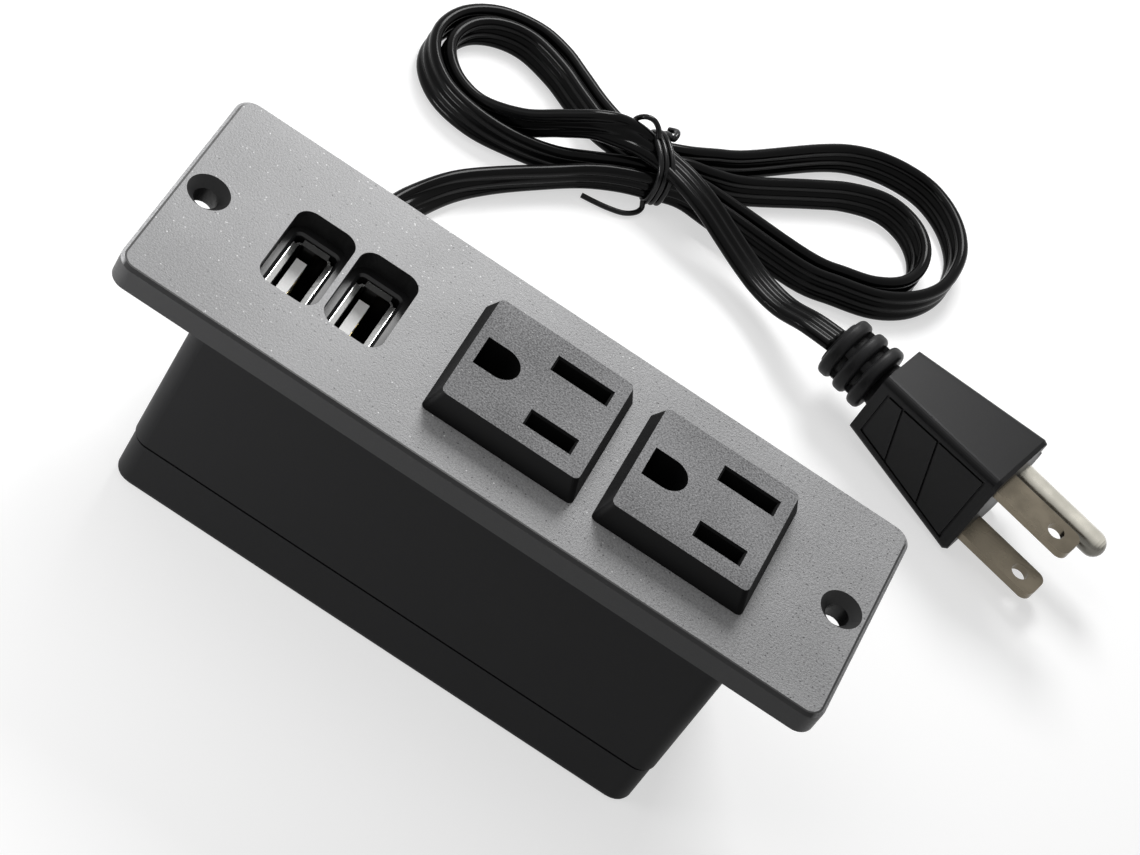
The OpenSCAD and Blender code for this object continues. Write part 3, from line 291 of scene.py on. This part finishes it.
def grained(name, colour, roughness, pebble, speckle, contrast, depth, specular=0.3,
            spread=(0.46, 0.79), deeper=None):
    """Leather-grained plastic: pebbles in relief under a light and dark speckle.

    The speckle runs from dark to light over spread. deeper is (x, x, share): the relief grows from
    that share of its depth at the first x to the whole at the second."""
    cloud_size = 18 * MM
    pebble_share, speckle_share, cloud_share = 0.6, 0.4, 0.25
    speckle_depth = 0.4  # of the pebbles' depth
    gloss_change = 0.08
    mat = plain(name, colour, roughness, specular=specular)
    clouds = noise(mat, cloud_size, detail=3)
    stones = noise(mat, pebble, detail=3, rough=0.55)
    dust = noise(mat, speckle, detail=2, rough=0.6)
    specks = remap(mat, dust, 0, 1, 0, speckle_share)
    grains = maths(mat, "MULTIPLY_ADD", stones, pebble_share, specks)
    cloudy = maths(mat, "MULTIPLY_ADD", clouds, cloud_share, grains)
    tint(mat, remap(mat, cloudy, *spread, 0, 1), colour, 1 - contrast, 1 + contrast)
    rough(mat, stones, roughness - gloss_change, roughness + gloss_change)
    strength = 1.0
    if deeper:
        start, end, share = deeper
        strength = remap(mat, axes(mat, coordinates(mat))["X"], start, end, share, 1)
    relief(mat, [(stones, depth), (dust, depth * speckle_depth)], strength)
    return mat


def metal(name, colour, roughness, brush=(1, 1, 1)):
    """Plated or drawn metal with stains, and fine lines along the axis that brush makes small."""
    line_size, line_depth = 0.5 * MM, 0.02 * MM
    stain_size = 5 * MM
    stain_low, stain_high = 0.35, 0.65  # the stains' noise runs from dark to light over these
    darkest, lightest = 0.86, 1.06
    smoother, duller = 0.04, 0.08
    mat = plain(name, colour, roughness, metallic=1.0)
    lines = noise(mat, line_size, detail=4, stretch=brush)
    stains = noise(mat, stain_size, detail=3)
    tint(mat, remap(mat, stains, stain_low, stain_high, 0, 1), colour, darkest, lightest)
    rough(mat, stains, roughness - smoother, roughness + duller)
    relief(mat, [(lines, line_depth)])
    return mat


def flecks(mat, apart, radius, share, none_at, all_at):
    """1 in small round spots: a share of a scatter, from none at one x to that share at another."""
    core = 0.6  # of a spot's radius, inside which it is full
    spots = node(mat, "ShaderNodeTexVoronoi", Scale=1 / apart)
    where = coordinates(mat)
    feed(mat, where, spots.inputs["Vector"])
    inside = remap(mat, spots.outputs["Distance"], radius / apart, core * radius / apart, 0, 1)
    chance = node(mat, "ShaderNodeSeparateColor")
    feed(mat, spots.outputs["Color"], chance.inputs[0])
    limit = remap(mat, axes(mat, where)["X"], none_at, all_at, 0, share)
    return maths(mat, "MULTIPLY", inside, maths(mat, "LESS_THAN", chance.outputs[0], limit))


def spotted(mat, colour, **scatter):
    """Lays flecks of a colour over the base colour."""
    base = base_colour(mat)
    feed(mat, mixed(mat, flecks(mat, **scatter), feeder(base), (*colour, 1)), base)


def painted_rim_masks(mat, top):
    """Two masks for the face plate's edge, from top, which is 1 on its upper face.

    The first is the upper face's painted light, which ends in a dark line just inside the bevel,
    except along the far side. The second is a painted highlight on the bevel, near the plate's two
    ends."""
    line_width = 0.30 * MM
    soft = 0.04 * MM  # width over which the paint fades into the line
    glare_starts, glare_full = 1.6 * MM, 0.9 * MM  # in from the plate's ends
    glare_most = 0.85       # how pale the painted highlight is at most
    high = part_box("face_plate")[1]
    place = coordinates(mat)
    # Distance out from the rectangle that the corner radii are centred on, at any height
    centres = (high[0] - PLATE_CORNER, high[1] - PLATE_CORNER, 1)
    folded = vector_maths(mat, "ABSOLUTE", place)
    past = vector_maths(mat, "SUBTRACT", folded, centres)
    out = vector_maths(mat, "LENGTH", vector_maths(mat, "MAXIMUM", past, (0, 0, 0)))
    bevel_starts = PLATE_CORNER - PLATE_BEVEL
    inner = remap(mat, out, bevel_starts - line_width - soft, bevel_starts - line_width, 1, 0)
    far_side = remap(mat, axes(mat, place)["Y"],
                     high[1] - PLATE_CORNER, high[1] - 0.5 * PLATE_CORNER, 0, 1)
    face = maths(mat, "MULTIPLY", top, maths(mat, "MAXIMUM", inner, far_side))
    at_end = remap(mat, axes(mat, folded)["X"],
                   high[0] - glare_starts, high[0] - glare_full, 0, glare_most)
    on_bevel = remap(mat, out, bevel_starts - 0.02 * MM, bevel_starts + 0.03 * MM, 0, 1)
    return face, maths(mat, "MULTIPLY", at_end, on_bevel)


def painted_lit_top_shaded_sides(mat, colour, rim=False):
    """Painted light and shade: the upper face keeps the paler, grained colour, while the sides and
    cut walls get a dark colour of painted shade and no grain.
    """
    # The Z of a face's normal where the upper face's painted light starts and where it is full
    lit_starts, lit_full = 0.80, 0.98
    bevel_starts, bevel_full = 0.45, 0.6
    upward = axes(mat, surface(mat, "Normal"))["Z"]
    top = remap(mat, upward, lit_starts, lit_full, 0, 1)
    if rim:
        face, pale = painted_rim_masks(mat, top)
        on_bevel = remap(mat, upward, bevel_starts, bevel_full, 0, 1)
        bevel = maths(mat, "MULTIPLY", pale, on_bevel)
        top = maths(mat, "MAXIMUM", face, bevel)
    base = base_colour(mat)
    feed(mat, mixed(mat, top, (*colour, 1), feeder(base)), base)
    normal = shader_of(mat).inputs["Normal"]
    feed(mat, mixed(mat, top, surface(mat, "Normal"), feeder(normal), data_type="VECTOR"), normal)


def painted_recess_shade(mat, deep, mouth, share):
    """Paints shade on what lies deep in an opening: full colour at height mouth, that share of it
    at deep.

    The far end's lip, which faces the near side, gets painted shade too."""
    lip_share = 0.05
    lip_starts, lip_full = -0.12, -0.3  # the Y of a face's normal
    lip = remap(mat, axes(mat, surface(mat, "Normal"))["Y"], lip_starts, lip_full, 1, lip_share)
    depth = remap(mat, axes(mat, surface(mat, "Position"))["Z"], deep, mouth, share, 1)
    base = base_colour(mat)
    feed(mat, mixed(mat, maths(mat, "MULTIPLY", depth, lip), (0, 0, 0, 1), feeder(base)), base)


def painted_ridge_highlight(mat, dark, bright):
    """Paints a lamp's reflection onto a round bar's colour: one pale line where it faces up, with
    painted shade beside it.
    """
    line_starts, line_full = 0.55, 0.92  # the Z of a face's normal
    upward = axes(mat, surface(mat, "Normal"))["Z"]
    level = remap(mat, upward, line_starts, line_full, dark, bright)
    base = base_colour(mat)
    feed(mat, mixed(mat, 1, feeder(base), level, blend_type="MULTIPLY"), base)


def dress(mat, *node_names):
    """Puts a material on every slot of the named CAD nodes."""
    for name in node_names:
        obj = nodes[name]
        if not obj.material_slots:
            obj.data.materials.append(mat)
        for holder in obj.material_slots:
            holder.material = mat


# ---------------------------------------------------------------- meshes
def mesh_object(name, verts, faces, mat, smooth=True):
    data = bpy.data.meshes.new(name)
    data.from_pydata([tuple(v) for v in verts], [], faces)
    data.update()
    obj = bpy.data.objects.new(name, data)
    bpy.context.scene.collection.objects.link(obj)
    obj.data.materials.append(mat)
    for face in data.polygons:
        face.use_smooth = smooth
    return obj


def tube_mesh(name, rings, mat):
    """Skins rings of points that follow one another, and caps both ends.

    The rings run anticlockwise as seen from the tube's far end, so the faces look outward."""
    count = len(rings[0])
    verts = [p for ring in rings for p in ring]
    faces = []
    for i in range(len(rings) - 1):
        a, b = i * count, (i + 1) * count
        for j in range(count):
            k = (j + 1) % count
            faces.append((a + j, a + k, b + k, b + j))
    faces.append(tuple(range(count))[::-1])
    faces.append(tuple(range(len(verts) - count, len(verts))))
    return mesh_object(name, verts, faces, mat)


def smooth_line(points, steps):
    """Catmull-Rom curve through the points; each point is a tuple of numbers."""
    ends = [tuple(2 * a - b for a, b in zip(points[0], points[1]))]
    ends += list(points)
    ends.append(tuple(2 * a - b for a, b in zip(points[-1], points[-2])))
    line = []
    for i in range(1, len(ends) - 2):
        for s in range(steps):
            t = s / steps
            line.append(tuple(
                0.5 * (2 * b + (c - a) * t + (2 * a - 5 * b + 4 * c - d) * t * t
                       + (3 * b - a - 3 * c + d) * t ** 3)
                for a, b, c, d in zip(*ends[i - 1:i + 3])))
    line.append(tuple(points[-1]))
    return line


def directions(line):
    """The unit direction of a line of vectors at each of its points."""
    found = []
    for i in range(len(line)):
        step = line[min(i + 1, len(line) - 1)] - line[max(i - 1, 0)]
        found.append(step.normalized())
    return found


def level_axes(turn):
    """Unit vectors along a direction in plan and to its left."""
    ahead = Vector((math.cos(turn), math.sin(turn), 0))
    return ahead, Vector((-ahead.y, ahead.x, 0))


def wire_tube(name, line, radius, mat):
    """A round wire along a line of vectors, without twist."""
    sides = 12
    side = UP
    rings = []
    for point, ahead in zip(line, directions(line)):
        side = (side - side.dot(ahead) * ahead).normalized()
        other = ahead.cross(side)
        rings.append([point + radius * (math.cos(math.tau * j / sides) * side
                                        + math.sin(math.tau * j / sides) * other)
                      for j in range(sides)])
    return tube_mesh(name, rings, mat)


# ---------------------------------------------------------------- cord
def cord_outline():
    """The flat cord's section as (across, height): three round cores with grooves between."""
    core = CORD_THICKNESS / 2
    spread = CORD_WIDTH / 2 - core  # from the middle core to the outer ones
    groove = 0.62 * core            # half height between two cores
    steps = 26
    upper = []
    for i in range(steps + 1):
        across = math.cos(math.pi * i / steps) * CORD_WIDTH / 2
        nearest = min((-spread, 0.0, spread), key=lambda c: abs(across - c))
        height = math.sqrt(max(0.0, core ** 2 - (across - nearest) ** 2))
        if abs(across) < spread:
            height = max(height, groove)
        upper.append((across, height))
    return upper + [(across, -height) for across, height in upper[-2:0:-1]]


def cord_line():
    """The cord's centreline as vectors, with the roll at each point in radians."""
    steps = 6
    middles = []
    for x, y, lowest, roll in ROUTE:
        turn = math.radians(roll)
        rise = CORD_WIDTH / 2 * math.sin(turn) + CORD_THICKNESS / 2 * abs(math.cos(turn))
        middles.append((x, y, lowest + rise, turn))
    fine = smooth_line(middles, steps)
    return [Vector(p[:3]) for p in fine], [p[3] for p in fine]


def make_cord(mat):
    """The cord, its centreline and its length."""
    line, rolls = cord_line()
    outline = cord_outline()
    rings = []
    for point, ahead, roll in zip(line, directions(line), rolls):
        side = UP.cross(ahead).normalized()
        up = ahead.cross(side)
        across = side * math.cos(roll) + up * math.sin(roll)
        out = up * math.cos(roll) - side * math.sin(roll)
        rings.append([point + a * across + h * out for a, h in outline])
    length = sum((b - a).length for a, b in zip(line, line[1:]))
    return tube_mesh("cord", rings, mat), line, length


def rounded(outline, passes):
    """Rounds a closed outline by cutting its corners again and again."""
    for _ in range(passes):
        cut = []
        for (a, b), (c, d) in zip(outline, outline[1:] + outline[:1]):
            cut += [(a * 0.75 + c * 0.25, b * 0.75 + d * 0.25),
                    (a * 0.25 + c * 0.75, b * 0.25 + d * 0.75)]
        outline = cut
    return outline


def make_tie(mat):
    """Wire wound three times round the bundle, with a standing loop and a loose tail.

    Its points are in millimetres: along the bundle, across it and up from the floor."""
    low, high = (Vector(c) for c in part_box("cord_tie"))
    base = Vector(((low.x + high.x) / 2, (low.y + high.y) / 2, 0))
    along, across = level_axes(TIE_TURN)

    def wire(name, points, radius):
        line = [base + (along * x + across * y + UP * z) * MM for x, y, z in points]
        return wire_tube(name, line, radius * MM, mat)

    radius = 0.55
    thin = radius * 0.9
    half = 5.9         # half the winding's width
    foot = 1.4         # cut off each lower corner
    shoulder = 7.4     # height where it starts to close in
    top = 10.5
    turns = 3
    pitch = 1.14
    fan = 0.1          # how far the turns spread at the top
    start_y = 2.6      # the winding starts on top, at this place across
    outline = rounded([(foot - half, radius), (half - foot, radius), (half, 2), (half, shoulder),
                       (3.2, top), (-3.2, top), (-half, shoulder), (-half, 2)], 3)
    count = len(outline)
    start = min(range(count), key=lambda i: abs(outline[i][0] - start_y) - outline[i][1])
    winding = []
    for i in range(turns * count + 1):
        y, z = outline[(start + i) % count]
        spread = fan * math.sin(math.pi * i / count) * z / top
        winding.append(((i / count - turns / 2) * pitch + spread, y, z))
    end = turns / 2 * pitch
    hook = [(end + 0.2, 2.0, top + 0.1), (end + 1.0, 3.0, top + 0.2),
            (end + 1.4, 4.2, top - 0.3), (end + 0.9, 5.6, top - 1.6)]
    loop = [(-1.4, 1.6, top + 0.2), (-1.7, 2.6, top + 1.5), (-2.8, 3.6, top + 2.5),
            (-4.2, 4.4, top + 2.3), (-5.1, 5.1, top + 0.9), (-4.9, 5.6, top - 0.9),
            (-3.6, 6.2, top - 2.2), (-2.2, 6.4, top - 3.0)]
    lying = radius + 0.05
    tail = [(-1.8, 0.4 - half, 1.6), (-2.0, -half - 0.7, 0.9), (-3.4, -half - 1.6, lying),
            (-5.8, -half - 2.0, lying), (-8.6, -half - 1.3, lying),
            (-11.2, -half - 0.2, lying), (-13.4, -half + 0.9, lying)]
    return [wire("tie_turns", winding + smooth_line(hook, 6), radius),
            wire("tie_loop", smooth_line(loop, 8), thin),
            wire("tie_tail", smooth_line(tail, 8), thin)]


# ---------------------------------------------------------------- plug
def boot_profile():
    """The relief's radius along its length, as (along, radius, has webs) in millimetres."""
    length = 11.5
    neck = 4.2
    flare = 0.4        # by which the neck widens into the plug
    ribs = 3
    first, step, thickness = 0.4, 3.6, 2.6
    rib_radius, growth = 6, 0.2
    edge = 0.95        # rounding of a rib's edges
    arc_steps = 6
    gap = 0.02         # run of a rib's side wall
    arc = [(edge * (1 - math.cos(a)), edge * (1 - math.sin(a)))
           for a in (math.pi / 2 * i / arc_steps for i in range(arc_steps + 1))]
    profile = [(0, neck, False), (first - gap, neck, False)]
    for k in range(ribs):
        near = first + k * step
        far = near + thickness
        radius = rib_radius + growth * k
        if k > 0:
            profile.append((near - gap, neck, True))
        profile += [(near + inward, radius - below, False) for inward, below in arc]
        profile += [(far - inward, radius - below, False) for inward, below in arc[::-1]]
        if k < ribs - 1:
            profile.append((far + gap, neck, True))
    return profile + [(far + gap, neck, False), (length, neck + flare, False)]


def make_boot(mat):
    """The plug's relief: three rounded ribs on a neck, joined by four webs."""
    sides = 96
    web_radius = 5.3
    web_half = math.radians(12)  # half the angle that a web takes up
    sharp = math.radians(40)
    low, high = (Vector(c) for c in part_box("plug_relief"))
    start = Vector((*ROUTE[-1][:2], (low.z + high.z) / 2))
    ahead, side = level_axes(PLUG_TURN)
    rings = []
    for along, radius, has_webs in boot_profile():
        ring = []
        for j in range(sides):
            angle = math.tau * j / sides
            off_web = abs(angle % (math.pi / 2) - math.pi / 4)
            reach = web_radius if has_webs and off_web < web_half else radius
            outward = math.cos(angle) * side + math.sin(angle) * UP
            ring.append(start + MM * (along * ahead + reach * outward))
        rings.append(ring)
    boot = tube_mesh("boot", rings, mat)
    boot.data.set_sharp_from_angle(angle=sharp)
    return boot


# ---------------------------------------------------------------- stage
def make_camera():
    data = bpy.data.cameras.new("camera")
    camera = bpy.data.objects.new("camera", data)
    bpy.context.scene.collection.objects.link(camera)
    bpy.context.scene.camera = camera
    data.sensor_width = CAMERA_SENSOR
    data.lens = CAMERA_LENS
    data.clip_start = 0.05
    data.clip_end = 20
    camera.location = CAMERA_PLACE
    camera.rotation_mode = "QUATERNION"
    level = (CAMERA_AIM - CAMERA_PLACE).to_track_quat("-Z", "Y")
    camera.rotation_quaternion = level @ Quaternion((0, 0, 1), CAMERA_ROLL)


def make_light(name, place, size, power, aim):
    """A rectangular area lamp that faces a point."""
    data = bpy.data.lights.new(name, "AREA")
    data.shape = "RECTANGLE"
    data.size, data.size_y = size
    data.energy = power
    lamp = bpy.data.objects.new(name, data)
    bpy.context.scene.collection.objects.link(lamp)
    lamp.location = place
    lamp.rotation_mode = "QUATERNION"
    lamp.rotation_quaternion = (Vector(aim) - Vector(place)).to_track_quat("-Z", "Y")


def seen_ray(owner):
    """1 where a ray comes from the camera, or by way of a mirror or glass."""
    path = node(owner, "ShaderNodeLightPath")
    total = path.outputs["Is Camera Ray"]
    for name in ("Is Glossy Ray", "Is Transmission Ray"):
        total = maths(owner, "MAXIMUM", total, path.outputs[name])
    return total


def make_world():
    """A dim white room that is bright wherever it is seen or mirrored."""
    world = bpy.data.worlds.new("studio")
    bpy.context.scene.world = world
    world.use_nodes = True
    lit = world.node_tree.nodes["Background"]
    lit.inputs["Color"].default_value = (1, 1, 1, 1)
    lit.inputs["Strength"].default_value = WORLD_LIGHT
    shown = node(world, "ShaderNodeBackground", Strength=1.0)
    both = mixed_shader(world, seen_ray(world), lit, shown)
    feed(world, both, world.node_tree.nodes["World Output"].inputs["Surface"])


def make_floor():
    """A pale floor that keeps the object's shadow and is lifted to white wherever it is seen."""
    mat = plain("floor_white", (FLOOR_WHITE,) * 3, 0.9, specular=0.1)
    glow = node(mat, "ShaderNodeEmission", Strength=FLOOR_GLOW)
    share = maths(mat, "MULTIPLY", seen_ray(mat), FLOOR_SHARE)
    both = mixed_shader(mat, share, shader_of(mat), glow)
    feed(mat, both, mat.node_tree.nodes["Material Output"].inputs["Surface"])
    corners = [(x * FLOOR_HALF, y * FLOOR_HALF, FLOOR_Z)
               for x, y in ((-1, -1), (1, -1), (1, 1), (-1, 1))]
    floor = mesh_object("floor", corners, [(0, 1, 2, 3)], mat, smooth=False)


# ---------------------------------------------------------------- the part
# The plate's grey is the painted light of its upper face; its sides get painted shade further down.
plate_grey = grained("plate_grey", (0.34, 0.34, 0.345), 0.42, pebble=0.40 * MM, speckle=0.2 * MM,
                     contrast=0.30, depth=0.16 * MM, deeper=(-30 * MM, 60 * MM, 0.3))
# Painted glints: pale flecks, more of them towards the plate's left end.
spotted(plate_grey, (0.75, 0.75, 0.75), apart=1.1 * MM, radius=0.17 * MM, share=0.6,
        none_at=50 * MM, all_at=-50 * MM)
spotted(plate_grey, (0.11, 0.11, 0.113), apart=0.9 * MM, radius=0.18 * MM, share=0.8,
        none_at=-60 * MM, all_at=60 * MM)
# Painted light on the plate's upper face, painted shade on its sides, and painted highlights on the
# bevels at its ends.
painted_lit_top_shaded_sides(plate_grey, (0.015, 0.015, 0.0155), rim=True)
outlet_grey = grained("outlet_grey", (0.27, 0.27, 0.275), 0.5, pebble=0.32 * MM, speckle=0.22 * MM,
                      contrast=0.52, depth=0.12 * MM, specular=0.02, spread=(0.50, 0.77))
spotted(outlet_grey, (0.5, 0.5, 0.5), apart=1.0 * MM, radius=0.14 * MM, share=0.35,
        none_at=-70 * MM, all_at=-20 * MM)
# Painted light on the tops of the outlet faces and painted shade on their walls.
painted_lit_top_shaded_sides(outlet_grey, (0.014, 0.014, 0.0143))
nickel = metal("bright_nickel", (0.72, 0.72, 0.71), 0.2, brush=(1, 1, 0.08))
# Painted shade deep inside the charging ports' shells and on their far lips.
painted_recess_shade(nickel, deep=34 * MM, mouth=39.1 * MM, share=0.04)
pin_brass = metal("pin_brass", (0.78, 0.75, 0.66), 0.2, brush=(0.15, 1, 1))
# A painted reflection along the ground pin.
painted_ridge_highlight(pin_brass, dark=0.22, bright=1.0)
# The blades' brass is a darker copy of the pin's, with painted shade in its colour.
shaded_blade_brass = metal("plated_brass", (0.19, 0.165, 0.125), 0.24, brush=(0.15, 1, 1))
strip_brass = metal("strip_brass", (0.72, 0.56, 0.30), 0.3, brush=(0.1, 1, 1))
gold = metal("gold_contact", (0.86, 0.67, 0.32), 0.22)
steel = metal("zinc_screw", (0.55, 0.55, 0.53), 0.3)

# Colour, roughness, size of the grain and its depth
case_black = moulded("case_black", (0.007, 0.007, 0.0074), 0.5, 0.3 * MM, 0.008 * MM, specular=0.10)
bezel_black = moulded("bezel_black", (0.010, 0.010, 0.0105), 0.35, 0.4 * MM, 0.004 * MM)
dark_plastic = moulded("dark_plastic", (0.03, 0.03, 0.032), 0.5, 0.4 * MM, 0.01 * MM)
plug_black = moulded("plug_black", (0.012, 0.012, 0.0125), 0.42, 0.5 * MM, 0.006 * MM,
                     specular=0.12)
cord_black = moulded("cord_black", (0.003, 0.003, 0.0031), 0.16, 2.5 * MM, 0.006 * MM,
                     specular=0.08)
tie_black = moulded("tie_black", (0.006, 0.006, 0.0063), 0.26, 0.6 * MM, 0.006 * MM, specular=0.2)
white_plastic = moulded("white_plastic", (0.92, 0.92, 0.91), 0.42, 0.5 * MM, 0.004 * MM,
                        contrast=0.04)
board_green = moulded("board_green", (0.02, 0.12, 0.06), 0.35, 0.8 * MM, 0.01 * MM)
ferrite = moulded("ferrite", (0.05, 0.05, 0.055), 0.6, 0.5 * MM, 0.01 * MM)
tape_yellow = moulded("tape_yellow", (0.72, 0.5, 0.06), 0.35, 1 * MM, 0.006 * MM)
sleeve_black = moulded("sleeve_black", (0.02, 0.02, 0.022), 0.3, 1 * MM, 0.004 * MM)
lead_white = moulded("lead_white", (0.75, 0.75, 0.73), 0.4, 1 * MM, 0.005 * MM)
lead_green = moulded("lead_green", (0.03, 0.22, 0.07), 0.4, 1 * MM, 0.005 * MM)
fuse_glass = moulded("fuse_glass", (0.55, 0.55, 0.52), 0.15, 1 * MM, 0.002 * MM)

dress(plate_grey, "face_plate")
dress(outlet_grey, "outlet_face_1", "outlet_face_2")
dress(case_black, "upper_housing", "back_cover")
dress(dark_plastic, "contact_base")
dress(bezel_black, "usb_bezel")
dress(plug_black, "cord_gland", "plug_body")
dress(shaded_blade_brass, "live_blade", "neutral_blade")
dress(pin_brass, "ground_pin")
dress(strip_brass, "live_busbar", "neutral_busbar", "ground_busbar")
dress(nickel, "usb_shell_1", "usb_shell_2")
dress(white_plastic, "usb_tongue_1", "usb_tongue_2")
dress(gold, "usb_contacts")
dress(steel, "case_screws", "base_screws", "board_screws")
dress(board_green, "usb_board")
dress(ferrite, "transformer_core", "noise_choke")
dress(tape_yellow, "transformer_winding")
dress(sleeve_black, "input_capacitor", "output_capacitor", "bridge_rectifier", "control_chip",
      "output_diode", "live_lead")
dress(lead_white, "neutral_lead", "charger_leads")
dress(lead_green, "ground_lead")
dress(fuse_glass, "fuse")

cord, cord_path, cord_length = make_cord(cord_black)
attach(cord, "root")
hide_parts("power_cord")
tie_parts = make_tie(tie_black)
for piece in tie_parts:
    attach(piece, "root")
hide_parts("cord_tie")
boot = make_boot(plug_black)
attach(boot, "root")
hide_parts("plug_relief")

make_camera()
make_world()
make_floor()
for lamp in LAMPS:
    make_light(*lamp)
